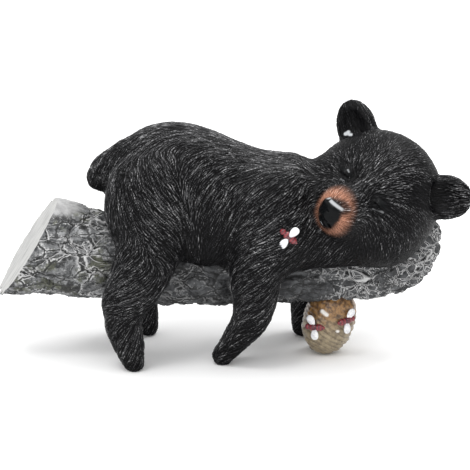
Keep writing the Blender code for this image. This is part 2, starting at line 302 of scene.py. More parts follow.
def clay_distance(forms, points):
    """How far each point is outside the melted forms, in steps."""
    field = np.full(len(points), 1e3)
    for form in forms:
        centre, radius = form.reach()
        close = np.linalg.norm(points - centre, axis=1) < radius + INFLUENCE
        if not close.any():
            continue
        far = form.distance(points[close])
        old = field[close]
        if form.carve:
            overlap = np.maximum(form.blend - np.abs(-far - old), 0) / form.blend
            field[close] = np.maximum(old, -far) + overlap**2 * form.blend / 4
        else:
            overlap = np.maximum(form.blend - np.abs(far - old), 0) / form.blend
            field[close] = np.minimum(old, far) - overlap**2 * form.blend / 4
    return field


def read_points(mesh):
    values = np.empty(len(mesh.vertices) * 3)
    mesh.vertices.foreach_get("co", values)
    return values.reshape(-1, 3)


def read_normals(mesh):
    values = np.empty(len(mesh.vertices) * 3)
    mesh.vertex_normals.foreach_get("vector", values)
    return values.reshape(-1, 3)


def write_points(mesh, points):
    mesh.vertices.foreach_set("co", points.ravel())
    mesh.update()


def add_attribute(mesh, name, values, kind="FLOAT"):
    made = mesh.attributes.new(name, kind, "POINT")
    field = "vector" if kind == "FLOAT_VECTOR" else "value"
    made.data.foreach_set(field, np.ascontiguousarray(values).ravel())


def press_to_clay(mesh, forms, rounds):
    """Moves every vertex along its normal until it lies on the clay's skin."""
    for _ in range(rounds):
        points = read_points(mesh)
        move = np.clip(clay_distance(forms, points), -2, 2)
        write_points(mesh, points - move[:, None] * read_normals(mesh))


def mesh_object(name, bm):
    mesh = bpy.data.meshes.new(name)
    bm.to_mesh(mesh)
    bm.free()
    made = bpy.data.objects.new(name, mesh)
    bpy.context.scene.collection.objects.link(made)
    return made


def settle(made):
    """Replaces an object's mesh by what its modifiers make of it."""
    graph = bpy.context.evaluated_depsgraph_get()
    mesh = bpy.data.meshes.new_from_object(made.evaluated_get(graph))
    made.modifiers.clear()
    made.data = mesh


def remesh(made, voxel):
    modifier = made.modifiers.new("Remesh", "REMESH")
    modifier.mode = "VOXEL"
    modifier.voxel_size = voxel
    settle(made)


def subdivide(made, levels):
    modifier = made.modifiers.new("Finer", "SUBSURF")
    modifier.levels = levels
    modifier.render_levels = levels
    settle(made)


def model_cub():
    """Lumps for every form, fused and pressed to the melted skin at three finenesses."""
    forms = cub()
    bm = bmesh.new()
    for form in forms:
        if form.carve:
            continue
        for place in form.lumps():
            bmesh.ops.create_icosphere(bm, subdivisions=3, radius=1, matrix=place)
    made = mesh_object("cub", bm)
    for voxel in (CLAY_VOXEL, CLAY_VOXEL, SKIN_VOXEL):
        remesh(made, voxel)
        press_to_clay(made.data, forms, 3)
    subdivide(made, 1)
    press_to_clay(made.data, forms, 1)
    return made


# The lie of the fur on the body: where, and the way the hair tips point, mirrored for the far side.
# Each place reaches BODY_SPREAD steps, and faintly much further, so that no skin is left without a way.
BODY_SPREAD = 6.5
FAR_SPREAD = 3000
BODY_COMBS = [
    ((-72, -8, 103), (-0.45, 0, -0.9)),
    ((-62, -14, 112), (-0.35, 0, -0.95)),
    ((-51, -25, 110), (0.0, 0, -1)),
    ((-45, -12, 118), (-0.6, 0, -0.7)),
    ((-37, -6, 121), (-0.75, 0, -0.6)),
    ((-31, 0, 125), (-1, 0, -0.1)),
    ((-15, -8, 120), (-0.95, 0, -0.3)),
    ((-42, -30, 109), (0.3, 0, -0.95)),
    ((-37, -33, 100), (0.55, 0, -0.85)),
    ((-50, -33, 103), (0.15, 0, -1)),
    ((-51, -36, 92), (0.6, 0, -0.8)),
    ((-42, -36, 96), (0.65, 0, -0.75)),
    ((-35, -33, 88), (0.8, 0, -0.6)),
    ((-45, -38, 81), (0.7, 0, -0.7)),
    ((-36, -35, 76), (0.75, 0, -0.55)),
    ((-39, -36, 66), (0.7, 0, -0.65)),
    ((-64, -20, 93), (0, 0, -1)),
    ((-64, -25, 79), (-0.1, 0, -1)),
    ((-59, -33, 89), (0.1, 0, -1)),
    ((-56, -36, 63), (-0.8, 0, -0.5)),
    ((-50, -38, 54), (-0.75, 0, -0.6)),
    ((-62, -30, 65), (-0.3, 0, -0.95)),
    ((-27, -27, 95), (0.05, 0, -1)),
    ((-26, -27, 76), (0, 0, -1)),
    ((-20, -28, 105), (-0.5, 0, -0.87)),
    ((-11, -27, 109), (-0.75, 0, -0.65)),
    ((-4, -20, 112), (-0.9, 0, -0.4)),
    ((-15, -30, 96), (-0.5, 0, -0.87)),
    ((-4, -31, 92), (-0.55, 0, -0.83)),
    ((-7, -30, 77), (-0.3, 0, -0.95)),
    ((11, -30, 104), (-0.75, 0, -0.66)),
    ((15, -33, 89), (-0.75, 0, -0.66)),
    ((7, -38, 72), (-0.92, 0, -0.38)),
    ((7, -40, 57), (-0.88, 0, -0.47)),
    ((26, -32, 97), (-0.75, 0, -0.66)),
    ((15, -12, 112), (-1, 0, -0.15)),
    ((29, -22, 107), (-0.7, 0, -0.7)),
    ((45, -24, 96), (-0.55, 0, -0.83)),
    ((46, -26, 76), (-0.85, 0, -0.5)),
    ((30, -36, 74), (-0.9, 0, -0.42)),
    ((10, -38, 42), (-0.85, 0, -0.55)),
    ((6, -36, 30), (-0.8, 0, -0.6)),
    ((-2, -28, 14), (-0.75, 0, -0.66)),
    ((-8, -20, 4), (-0.8, 0, -0.5)),
    ((-56, -38, 46), (-0.9, 0, -0.4)),
    ((-62, -38, 36), (-1, 0, -0.1)),
    ((-60, -38, 26), (-0.5, 0, -0.85)),
    ((-56, -34, 12), (-0.4, 0, -0.9)),
]
# On the head, in its own directions: where, how far the place reaches, and the way the hair tips point
HEAD_COMBS = [
    ((36, 0, 1), 7, (-0.3, 0, 1)),
    ((28, 0, 18), 9, (-0.4, 0, 1)),
    ((22, 15, 19), 9, (-0.3, 1, 0.5)),
    ((22, -15, 19), 9, (-0.3, -0.75, 0.8)),
    ((4, 0, 34), 14, (-1, 0, 0.1)),
    ((4, 28, 20), 10, (-0.8, 0.8, 0.1)),
    ((4, -28, 20), 10, (-0.8, -0.8, 0.2)),
    ((24, 23, -2), 8, (-0.6, 1, -0.3)),
    ((24, -22, -2), 8, (-0.6, -1, -0.3)),
    ((18, 27, -16), 9, (-0.5, 0.5, -0.9)),
    ((18, -26, -16), 9, (-0.5, -0.5, -0.9)),
    ((20, 4, -28), 10, (-0.4, 0, -1)),
    ((-20, 0, 20), 14, (-0.6, 0, -0.8)),
    ((-26, 0, -6), 14, (-0.2, 0, -1)),
]
NOSE = on_head(46, -0.8, -13.5)


def lie_of_fur(points):
    """The way the hair points at each place of the skin, not yet laid into it."""
    flow = np.zeros_like(points)
    combs = []
    for place, way in BODY_COMBS:
        for side in (1, -1):
            mirrored = steps(1, side, 1)
            combs.append((steps(*place) * mirrored, BODY_SPREAD, unit(steps(*way)) * mirrored))
    for place, spread, way in HEAD_COMBS:
        combs.append((on_head(*place), spread, unit(HEAD_TURN @ steps(*way))))
    for place, spread, way in combs:
        gap = ((points - place) ** 2).sum(1)
        flow += np.exp(-gap / (2 * spread**2))[:, None] * way
        flow += np.exp(-gap / FAR_SPREAD)[:, None] * way * 1e-4
    for side, lean, _, _ in (RIGHT_EAR, LEFT_EAR):
        out, across = ear_directions(side, lean)
        away = points - (HEAD_CENTRE + 28 * out)
        share = ramp(away @ out, 3, 8) * ramp(-np.abs(away @ across), -16, -12)
        flow = flow * (1 - share[:, None]) + share[:, None] * out
    from_nose = points - NOSE
    share = ramp(-np.linalg.norm(from_nose, axis=1), -24, -14)[:, None]
    radial = from_nose / np.linalg.norm(from_nose, axis=1, keepdims=True)
    size = np.maximum(np.linalg.norm(flow, axis=1, keepdims=True), 1e-9)
    return flow * (1 - share) / size + share * radial


def ramp(values, low, high):
    """A smooth rise from 0 at low to 1 at high."""
    share = np.clip((values - low) / (high - low), 0, 1)
    return share * share * (3 - 2 * share)


def neighbours(mesh, most=9):
    """For each vertex those that share a face with it, with itself in the places left over."""
    count = len(mesh.vertices)
    corners = np.empty(len(mesh.loops), np.int32)
    mesh.loops.foreach_get("vertex_index", corners)
    quads = corners.reshape(-1, 4).astype(np.int64)
    keys = [quads[:, a] * count + quads[:, b] for a in range(4) for b in range(4) if a != b]
    keys = np.unique(np.concatenate(keys))
    home, other = keys // count, keys % count
    starts = np.searchsorted(home, np.arange(count))
    place = np.arange(len(keys)) - starts[home]
    table = np.repeat(np.arange(count)[:, None], most, axis=1)
    kept = place < most
    table[home[kept], place[kept]] = other[kept]
    return table


def grain(points, size, seed):
    """Random bumps of about that size, in steps, one value for each point."""
    shift = Vector((17.3 * seed, 5.1 * seed, 9.7 * seed))
    return np.array([noise.noise(Vector(p) / size + shift) for p in points.tolist()])


def specks(points, size):
    """A random value for each little cell of that size, in steps, with a mean of nothing."""
    values = np.array([noise.cell(Vector(p) / size) for p in points.tolist()])
    return values - values.mean()


def comb_along(mesh, points, normals, flow, values, kernels):
    """Draws the values out along the flow, each column with its own kernel of shares per hop.

    The first two columns are set against their neighbours first, which spaces the strokes evenly.
    """
    near = neighbours(mesh)
    values[:, :2] -= 0.8 * values[near, :2].mean(1)
    every = np.arange(len(points))
    points = points.astype(np.float32)
    normals = normals.astype(np.float32)
    flow = flow.astype(np.float32)
    total = values * kernels[0]
    for way in (1, -1):
        at = every.copy()
        here = points.copy()
        for share in kernels[1:]:
            here += way * HOP * flow[at]
            gap = ((points[near[at]] - here[:, None]) ** 2).sum(2)
            at = near[at][every, gap.argmin(1)]
            here -= ((here - points[at]) * normals[at]).sum(1)[:, None] * normals[at]
            total += values[at] * share
    return total / total.std(0)


def soft_kernel(hops, count):
    """Shares that fall smoothly to nothing after so many hops."""
    places = np.arange(count) / hops
    return np.where(places < 1, 0.5 + 0.5 * np.cos(math.pi * places), 0)


def in_head(points):
    """The points in the head's own directions."""
    return (points - HEAD_CENTRE) @ HEAD_TURN


def spot(points, start, end, width):
    """1 within half the width of the line between two places, falling to 0 just outside."""
    run = end - start
    share = np.clip((points - start) @ run / (run @ run), 0, 1)
    gap = np.linalg.norm(points - start - share[:, None] * run, axis=1)
    return ramp(-gap, -0.7 * width, -0.35 * width)


# Where the coat is rubbed greyer on both flanks, and where painted shade leaves it darker: where, how far
# it reaches and how much
RUBBING_AND_SHADE = [
    ((-36, 33, 90), 12, 0.4),
    ((-57, 40, 44), 9, 0.4),
    ((13, 35, 74), 10, 0.35),
    ((-10, 30, 66), 15, -0.8),
    ((-62, 22, 78), 13, -0.35),
    ((38, 34, 67), 13, -0.45),
]
# Painted highlights and a chip: strength, start, end and width. The painted highlights are on the nose
# pad's corner, the chin and the eyes; at full strength is the white chip in the right ear.
PAINTED_HIGHLIGHTS_AND_CHIP = [
    (0.6, on_head(45.2, -5.6, -9), on_head(44.6, -6.6, -10.6), 1.0),
    (0.5, on_head(39.4, -2.7, -22.6), on_head(39.6, -1.5, -22.8), 1.0),
    (0.35, on_head(29.6, -12.6, 5.0), on_head(29.8, -11.4, 4.7), 0.9),
    (0.22, on_head(31, 11.6, -0.5), on_head(28.4, 16.2, 1), 0.9),
    (0.16, on_head(31, -15, -0.5), on_head(31, -9, -0.9), 0.9),
    (1.0, on_head(2.1, -34.1, 12.5), on_head(0.8, -33.9, 14.2), 1.7),
    (1.0, on_head(1.4, -33.6, 13), on_head(0.6, -32, 14), 1.5),
]


def fur_strokes(mesh, points, normals, near_head):
    """Fine strokes, shorter on the head, and the broad locks that they gather in."""
    flow = lie_of_fur(points)
    flow -= (flow * normals).sum(1)[:, None] * normals
    flow /= np.maximum(np.linalg.norm(flow, axis=1, keepdims=True), 1e-6)
    fine = specks(points, 0.3)
    values = np.column_stack([fine, fine, grain(points, 2.1, 2)])
    kernels = [soft_kernel(hops, LOCK_HOPS) for hops in (STROKE_HOPS, SHORT_HOPS, LOCK_HOPS)]
    long, short, lock = comb_along(mesh, points, normals, flow, values, np.column_stack(kernels)).T
    return long + near_head * (short - long), lock


def bare_marks(head):
    """Where the nose pad and the lips have no hair, as a share."""
    face, left, crown = head.T
    from_nose = np.linalg.norm((head - (45.5, -1.6, -14)) / (6, 7.4, 6.4), axis=1)
    from_lips = np.hypot((left + 1.6) / 7.4, (crown + 17.4) / 7.6)
    nose = ramp(-from_nose, -1.15, -0.85)
    lips = ramp(-from_lips, -1.25, -0.75) * ramp(face, 28, 33)
    return np.maximum(nose, lips)


def eye_marks(left, crown, front):
    """The closed lids and the dark slits between them, as shares."""
    lids = np.zeros(len(left))
    slits = np.zeros(len(left))
    for side in (-1, 1):
        across, over = left - 12 * side, crown - 3.6
        from_lid = np.hypot(across / 6.4, over / 4.2)
        from_slit = np.hypot(across / 4.4, (over + 0.05 * across**2 - 0.6) / 1.2)
        lids = np.maximum(lids, ramp(-from_lid, -1.15, -0.8) * front)
        slits = np.maximum(slits, ramp(-from_slit, -1.2, -0.8) * front)
    return lids, slits


def rub_light_shade_of(points, normals, near_head, front, from_muzzle, lids):
    """How much the ridges of the fur turn grey: rubbed paint, and painted sheen on the back and brow;
    less than nothing where the coat stays black, as painted shade under the head and body, in the eye
    sockets and in the ear hollows.
    """
    _, left, crown = in_head(points).T
    # Painted light on the brow, painted sheen along the top of the back, painted shade under the head;
    # the lids get painted shade in the eye sockets
    painted_light_on_brow = np.exp(-(((left - 4) / 15) ** 2) - ((crown - 17) / 11) ** 2) * front
    painted_sheen_on_top = ramp(normals[:, 2], 0.7, 1.0) * (1 - near_head)
    painted_shade_under_head = ramp(-crown, 8, 22) * near_head
    whiskers = ramp(-np.abs(from_muzzle - 1.3), -0.35, 0) * front
    rub_light_shade = 0.4 * painted_sheen_on_top + 0.55 * painted_light_on_brow + 0.35 * whiskers - 0.6 * painted_shade_under_head - 1.1 * lids - 0.25 * near_head
    for place, reach, amount in RUBBING_AND_SHADE:
        gap = np.column_stack([points[:, 0], np.abs(points[:, 1]), points[:, 2]]) - place
        rub_light_shade += amount * np.exp(-(gap**2).sum(1) / reach**2)
    # Painted shade on the undersides
    rub_light_shade -= 0.8 * ramp(-normals[:, 2], 0.2, 0.7)
    # Painted shade in the ear hollows
    for side, lean, length, _ in (RIGHT_EAR, LEFT_EAR):
        out, across = ear_directions(side, lean)
        away = points - (HEAD_CENTRE + (36 - 3 * side) * out)
        reach = np.hypot(away @ out / (length - 4 - 2 * side), away @ across / 8)
        rub_light_shade -= (1.3 if side < 0 else 0.8) * ramp(-reach, -1.15, -0.8) * ramp(normals @ FACE, 0.1, 0.4)
    return rub_light_shade


def highlights_and_chip_of(points, head):
    """The painted highlights and the chip in the ear, with a painted band of light across the top of the
    nose pad.
    """
    face, left, crown = head.T
    highlight_marks = [strength * spot(points, *place) for strength, *place in PAINTED_HIGHLIGHTS_AND_CHIP]
    # A painted highlight along the top edge of the nose pad
    band = ramp(-np.abs(crown + 9 - 0.1 * left), -0.95, -0.5)
    band *= ramp(left, -5, -4) * ramp(-left, -4.8, -3.2) * ramp(face, 42, 44)
    highlight_marks.append(0.6 * band)
    return np.max(highlight_marks, axis=0)


def groom(made):
    """Cuts the fur into the skin and writes down what the paint needs to know about each place."""
    mesh = made.data
    points = read_points(mesh)
    normals = read_normals(mesh)
    head = in_head(points)
    face, left, crown = head.T
    near_head = ramp(-np.linalg.norm(head, axis=1), -44, -36)
    front = ramp(face, 14, 24)
    from_muzzle = np.hypot((left + 1.2) / 11.2, (crown + 13.6) / 12.4)
    muzzle = ramp(-from_muzzle, -1.2, -0.75) * front
    inner = ramp(-np.hypot((left - 2.5) / 5.5, (crown + 8) / 4), -1.2, -0.6)
    bare = bare_marks(head)
    lids, slits = eye_marks(left, crown, front)
    stroke, lock = fur_strokes(mesh, points, normals, near_head)
    height = 0.34 - 0.16 * near_head
    height *= (1 - bare) * (1 - 0.6 * lids) * (1 - 0.3 * muzzle)
    relief = height * np.tanh(stroke * 0.8) + 0.6 * height * np.tanh(lock) - 0.5 * slits
    write_points(mesh, points + relief[:, None] * normals)
    add_attribute(mesh, "stroke", stroke)
    add_attribute(mesh, "lock", lock)
    add_attribute(mesh, "tan", muzzle * (1 - 0.85 * inner) * ramp(from_muzzle, 0.4, 0.7))
    add_attribute(mesh, "bare", np.maximum(bare, slits))
    add_attribute(mesh, "rub_light_shade", rub_light_shade_of(points, normals, near_head, front, from_muzzle, lids))
    add_attribute(mesh, "highlight_and_chip", highlights_and_chip_of(points, head))
    stand_on_ground(made)
    add_attribute(mesh, "skin_normal", read_normals(mesh), "FLOAT_VECTOR")


def stand_on_ground(made):
    """Planes off what reaches below the ground."""
    points = read_points(made.data)
    points[:, 2] = np.maximum(points[:, 2], 0)
    write_points(made.data, points)


def to_casting(made):
    """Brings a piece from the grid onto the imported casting."""
    made.data.transform(Matrix.Translation(GRID_SHIFT) @ Matrix.Scale(STEP, 4))


# The cub is kept in three pieces, cut across its length at these places
CUTS = [-22.0, 46.0]
PIECE_NAMES = ["cub_rump", "cub_chest", "cub_head"]


def cut_in_three(whole):
    """Cuts the cub across and closes each piece, shading it as the uncut skin."""
    pieces = []
    bounds = [-np.inf, *CUTS, np.inf]
    for name, low, high in zip(PIECE_NAMES, bounds, bounds[1:]):
        bm = bmesh.new()
        bm.from_mesh(whole.data)
        for place, way in ((low, -1), (high, 1)):
            if not np.isfinite(place):
                continue
            cut = bmesh.ops.bisect_plane(
                bm,
                geom=bm.verts[:] + bm.edges[:] + bm.faces[:],
                plane_co=(place, 0, 0),
                plane_no=(way, 0, 0),
                clear_outer=True,
            )
            rim = [g for g in cut["geom_cut"] if isinstance(g, bmesh.types.BMEdge)]
            bmesh.ops.contextual_create(bm, geom=rim)
        piece = mesh_object(name, bm)
        mesh = piece.data
        mesh.shade_smooth()
        normals = np.empty(len(mesh.vertices) * 3)
        mesh.attributes["skin_normal"].data.foreach_get("vector", normals)
        mesh.normals_split_custom_set_from_vertices(normals.reshape(-1, 3))
        mesh.attributes.remove(mesh.attributes["skin_normal"])
        to_casting(piece)
        pieces.append(piece)
    bpy.data.objects.remove(whole)
    return pieces


# The branch: its middle line and radius, in steps, from beyond the saw cut to the broken tip
BRANCH_LINE = [
    (-136, 0, 65, 31.0),
    (-112, 0, 61, 27.6),
    (-93, 0, 59, 25.7),
    (-70, 0, 53.6, 23.2),
    (-45, 0, 49.5, 20.8),
    (-20, 0, 46.8, 19.6),
    (20, 0, 46, 17.8),
    (50, 0, 46, 16.5),
    (74, 1, 47.2, 15.8),
    (88, 2, 50, 15.3),
    (95.4, 4, 57, 14.3),
    (97.6, 5, 65, 12.6),
    (97, 5, 70.5, 10.6),
]
SAW_POINT = steps(-111.5, 0, 59.5)
SAW_NORMAL = unit(steps(-0.835, -0.08, 0.53))
WORN_CORNER = Vector((-0.0935, -0.002, 0.0875))
RING_STEPS = 2.8
BRANCH_SIDES = 48


def wander(place, amount):
    """A place pushed about by smooth noise, so that what is drawn there gets crooked edges."""
    push = [noise.noise(place + Vector((0, 0, 31 * axis))) for axis in (1, 2, 3)]
    return place + amount * Vector(push)


def plates(place, salt):
    """The distance to the nearest seam between bark plates, negative on the lower of the two plates."""
    gaps, feet = noise.voronoi(place)
    side = 1 if noise.cell(feet[0] * salt) > noise.cell(feet[1] * salt) else -1
    return side * (gaps[1] - gaps[0])


def bark_at(point):
    """The bark at a point of the branch: how far it stands out, its plate and flake seams, its wear."""
    place = Vector(point) / BARK_PLATE
    place.x *= 0.6
    plate_seam = plates(wander(place, 0.4), 2.3)
    edge = min(1.0, abs(plate_seam) / 0.35)
    plate = edge * edge * (3 - 2 * edge)
    swell = noise.noise(place * 0.8 + Vector((7, 0, 0)))
    rise = BARK_DEPTH * (plate - 0.8 + 0.7 * swell)
    small = Vector(point) / 0.0058 + Vector((3, 9, 1))
    small.x *= 0.8
    flake_seam = plates(wander(small, 0.8), 3.7)
    for seam, lift in ((plate_seam, 0.0007), (flake_seam, 0.0004)):
        rise += math.copysign(lift, seam) * max(0.0, 1 - abs(seam) / 0.5) ** 2
    rise += 0.00016 * noise.fractal(Vector(point) / 0.0016, 0.8, 2.0, 2)
    rib = Vector(point) / 0.0034
    rib.x *= 0.4
    rise -= 0.0011 * (1 - abs(noise.noise(rib))) ** 6
    worn = min(1.0, max(0.0, 1.6 - (Vector(point) - WORN_CORNER).length / 0.012))
    return rise * (1 - worn) + 0.0003 * worn, plate_seam, flake_seam, worn


def branch_rows():
    """Evenly spaced places along the branch, each with its radius, in steps."""
    rows = smooth_line(np.array(BRANCH_LINE, float), 12)
    spans = np.linalg.norm(np.diff(rows[:, :3], axis=0), axis=1)
    run = np.concatenate([[0], np.cumsum(spans)])
    stops = np.linspace(0, run[-1], int(run[-1] / RING_STEPS) + 1)
    return np.column_stack([np.interp(stops, run, rows[:, k]) for k in range(4)])


def ring_places(rows):
    """One placement for each ring of the branch: its centre, its tilt and its radius."""
    side = Vector((0, 1, 0))
    made = []
    for i, row in enumerate(rows):
        ahead = rows[min(i + 1, len(rows) - 1)][:3] - rows[max(i - 1, 0)][:3]
        along = Vector(ahead).normalized()
        up = along.cross(side).normalized()
        flat = side * row[3] * STEP, up * row[3] * STEP, along * row[3] * STEP
        turn = Matrix(flat).transposed().to_4x4()
        made.append(Matrix.Translation(Vector(row[:3]) * STEP) @ turn)
    return made


def model_branch():
    """A ring extruded along the middle line, made finer, given its bark and sawn off."""
    places = ring_places(branch_rows())
    bm = bmesh.new()
    bmesh.ops.create_circle(bm, cap_ends=True, segments=BRANCH_SIDES, radius=1, matrix=places[0])
    edges = bm.edges[:]
    for before, after in zip(places, places[1:]):
        made = bmesh.ops.extrude_edge_only(bm, edges=edges)["geom"]
        ring = [g for g in made if isinstance(g, bmesh.types.BMVert)]
        edges = [g for g in made if isinstance(g, bmesh.types.BMEdge) and g.is_boundary]
        bmesh.ops.transform(bm, matrix=after @ before.inverted(), verts=ring)
    bmesh.ops.contextual_create(bm, geom=edges)
    bmesh.ops.recalc_face_normals(bm, faces=bm.faces[:])
    made = mesh_object("branch", bm)
    subdivide(made, 2)
    points = read_points(made.data)
    normals = read_normals(made.data)
    bark = np.array([bark_at(p) for p in points.tolist()])
    write_points(made.data, points + bark[:, :1] * normals)
    for name, values in zip(("plate_seam", "flake_seam", "worn"), bark.T[1:]):
        add_attribute(made.data, name, values)
    saw_off(made)
    made.data.transform(Matrix.Translation(GRID_SHIFT))
    return made


def saw_off(made):
    """Cuts the thick end off and closes it with the sawn wood."""
    bm = bmesh.new()
    bm.from_mesh(made.data)
    cut = bmesh.ops.bisect_plane(
        bm,
        geom=bm.verts[:] + bm.edges[:] + bm.faces[:],
        plane_co=SAW_POINT * STEP,
        plane_no=SAW_NORMAL,
        clear_outer=True,
    )
    rim = [g for g in cut["geom_cut"] if isinstance(g, bmesh.types.BMEdge)]
    for face in bm.faces:
        face.smooth = True
    end = bmesh.ops.triangle_fill(bm, edges=rim, use_beauty=True, normal=SAW_NORMAL)
    for face in end["geom"]:
        if isinstance(face, bmesh.types.BMFace):
            face.smooth = False
            face.material_index = 1
    bm.to_mesh(made.data)
    bm.free()


# The hive: its foot on the ground and the way that it leans, up into the branch
HIVE_FOOT = steps(45.5, -1.5, 0)
HIVE_LEAN = unit(steps(9, 1.5, 33))
# The hive's outline: places up its middle line and radii, as shares
HIVE_SHAPE = [
    (0, 0.0),
    (0.05, 0.42),
    (0.16, 0.72),
    (0.33, 0.94),
    (0.52, 1.0),
    (0.7, 0.97),
    (0.86, 0.82),
    (1, 0.5),
]
HIVE_SIDES = 140


def hive_turn():
    """The hive's own frame: its middle line as Z, from its foot."""
    up = Vector(HIVE_LEAN)
    side = Vector((0, 1, 0)).cross(up).normalized()
    ahead = up.cross(side)
    turn = Matrix((side, ahead, up)).transposed().to_4x4()
    foot = Vector(HIVE_FOOT) * STEP - Vector((0, 0, HIVE_SINK / 2)) + GRID_SHIFT
    return Matrix.Translation(foot) @ turn


def hive_radius(height):
    """The hive's radius at a height along its middle line."""
    shares = np.array(HIVE_SHAPE)
    return HIVE_RADIUS * np.interp(height / HIVE_HEIGHT, shares[:, 0], shares[:, 1])


def model_hive():
    """A straw skep: its outline spun about the middle line, with slightly tilted coils pressed in."""
    bm = bmesh.new()
    coils = round(HIVE_HEIGHT / COIL_PITCH)
    heights = np.linspace(0, HIVE_HEIGHT, 8 * coils + 1)
    line = [bm.verts.new((0, 0, 0))]
    for height in heights[1:]:
        line.append(bm.verts.new((max(hive_radius(height), 0.0003), 0, height)))
    line.append(bm.verts.new((0, 0, HIVE_HEIGHT)))
    for low, high in zip(line, line[1:]):
        bm.edges.new((low, high))
    bmesh.ops.spin(
        bm,
        geom=bm.verts[:] + bm.edges[:],
        cent=(0, 0, 0),
        axis=(0, 0, 1),
        angle=2 * math.pi,
        steps=HIVE_SIDES,
        use_merge=True,
    )
    bmesh.ops.remove_doubles(bm, verts=bm.verts[:], dist=1e-6)
    bmesh.ops.recalc_face_normals(bm, faces=bm.faces[:])
    groove = bm.verts.layers.float.new("groove")
    for v in bm.verts:
        out = Vector((v.co.x, v.co.y, 0)).normalized()
        coil = (v.co.z + 0.33 * v.co.x) / COIL_PITCH + 0.5 * noise.noise(v.co / 0.011)
        plain = min(1.0, max(0.25, 2.2 - 2.2 * v.co.z / HIVE_HEIGHT))
        v[groove] = plain * (1 - abs(math.sin(math.pi * coil)) ** 0.6)
        lumps = 0.00045 * noise.noise(v.co / 0.004) + 0.0002 * noise.noise(v.co / 0.0012)
        v.co += out * (lumps - GROOVE_DEPTH * v[groove])
    bm.transform(hive_turn())
    made = mesh_object("hive", bm)
    stand_on_ground(made)
    return made


# Painted reflections of a light on the hive's varnish: from where to where, in steps as seen from the
# front, and how wide
PAINTED_REFLECTIONS = [((46.4, 27), (48.8, 25.4), 0.0020), ((54.6, 16.3), (54.8, 16.1), 0.0016)]

# Each bee: where it sits, in steps as seen from the front, the way its head points and its wing angles
SHOULDER_BEE = dict(x=27.5, z=76, heading=138, wings=(48, -128), lift=0.0012)
HIVE_BEES = [
    dict(x=42.6, z=18.4, heading=180, wings=(118, -90)),
    dict(x=59, z=22, heading=9, wings=(52, -84)),
]
# The bee's outline: places along its length from the tail and half widths, as shares
BEE_SHAPE = [
    (-0.5, 0),
    (-0.47, 0.12),
    (-0.4, 0.3),
    (-0.33, 0.4),
    (-0.24, 0.47),
    (-0.15, 0.46),
    (-0.06, 0.36),
    (0.0, 0.44),
    (0.1, 0.5),
    (0.19, 0.44),
    (0.25, 0.3),
    (0.31, 0.38),
    (0.37, 0.4),
    (0.44, 0.3),
    (0.5, 0),
]


def seat_of(tree, x, z):
    """The point and outward direction of the surface at x, z, seen from the front."""
    start = Vector((x * STEP + GRID_SHIFT.x, -0.25, z * STEP))
    point, normal, _, _ = tree.ray_cast(start, Vector((0, 1, 0)))
    return point, normal


def model_bee(name, tree, x, z, heading, wings, lift=0.0):
    """A plump body and two paddle wings, pressed a little into their seat; lift raises the wings."""
    point, normal = seat_of(tree, x, z)
    out = (normal + Vector((0, -0.6, 0))).normalized()
    right = out.cross(Vector((0, 0, -1))).normalized()
    up = out.cross(right)

    def turned(angle, rise, run):
        """The bee's frame turned by an angle seen from the front, moved out and along."""
        turn = math.radians(angle)
        along = math.cos(turn) * right + math.sin(turn) * up
        across = out.cross(along)
        place = point + rise * out + run * along
        return Matrix.Translation(place) @ Matrix((along, across, out)).transposed().to_4x4()

    bm = bmesh.new()
    line = [bm.verts.new((BEE_LENGTH * run, 0, BEE_WIDTH * wide)) for run, wide in BEE_SHAPE]
    for low, high in zip(line, line[1:]):
        bm.edges.new((low, high))
    bmesh.ops.spin(
        bm,
        geom=bm.verts[:] + bm.edges[:],
        cent=(0, 0, 0),
        axis=(1, 0, 0),
        angle=2 * math.pi,
        steps=24,
        use_merge=True,
    )
    bmesh.ops.remove_doubles(bm, verts=bm.verts[:], dist=1e-6)
    bmesh.ops.recalc_face_normals(bm, faces=bm.faces[:])
    length_share = bm.verts.layers.float.new("run")
    for v in bm.verts:
        v[length_share] = v.co.x / BEE_LENGTH + 0.5
    bm.transform(turned(heading, BEE_WIDTH * 0.3 - BEE_SINK, 0))
    pieces = [mesh_object(name + "_body", bm)]
    wing_rise = WING_THICKNESS * 0.3 + WING_LIFT + lift
    wing_run = BEE_WIDTH * 0.2 + WING_LENGTH * 0.5
    for number, angle in enumerate(wings, start=1):
        bm = bmesh.new()
        bmesh.ops.create_uvsphere(bm, u_segments=28, v_segments=16, radius=1)
        for v in bm.verts:
            v.co.y *= 0.82 + 0.22 * v.co.x
        size = Matrix.Diagonal((WING_LENGTH * 0.5, WING_WIDTH * 0.5, WING_THICKNESS * 0.5, 1))
        bm.transform(turned(angle, wing_rise, wing_run) @ size)
        pieces.append(mesh_object(f"{name}_wing_{number}", bm))
    return pieces


# Paint. Every finish reads the piece's own attributes and its place in the casting.
def node(tree, kind, inputs=None, **settings):
    """A shader node with its settings, and each input given a value or joined to a socket."""
    made = tree.nodes.new(kind)
    for key, value in settings.items():
        setattr(made, key, value)
    for key, value in (inputs or {}).items():
        if isinstance(value, bpy.types.NodeSocket):
            tree.links.new(value, made.inputs[key])
        else:
            made.inputs[key].default_value = value
    return made


def new_finish(name, **sockets):
    material = bpy.data.materials.new(name)
    material.use_nodes = True
    shader = material.node_tree.nodes["Principled BSDF"]
    for key, value in sockets.items():
        shader.inputs[key.replace("_", " ")].default_value = value
    return material, material.node_tree, shader


def attribute(tree, name):
    return node(tree, "ShaderNodeAttribute", attribute_name=name).outputs["Fac"]


def place_on_piece(tree):
    return node(tree, "ShaderNodeTexCoord").outputs["Object"]


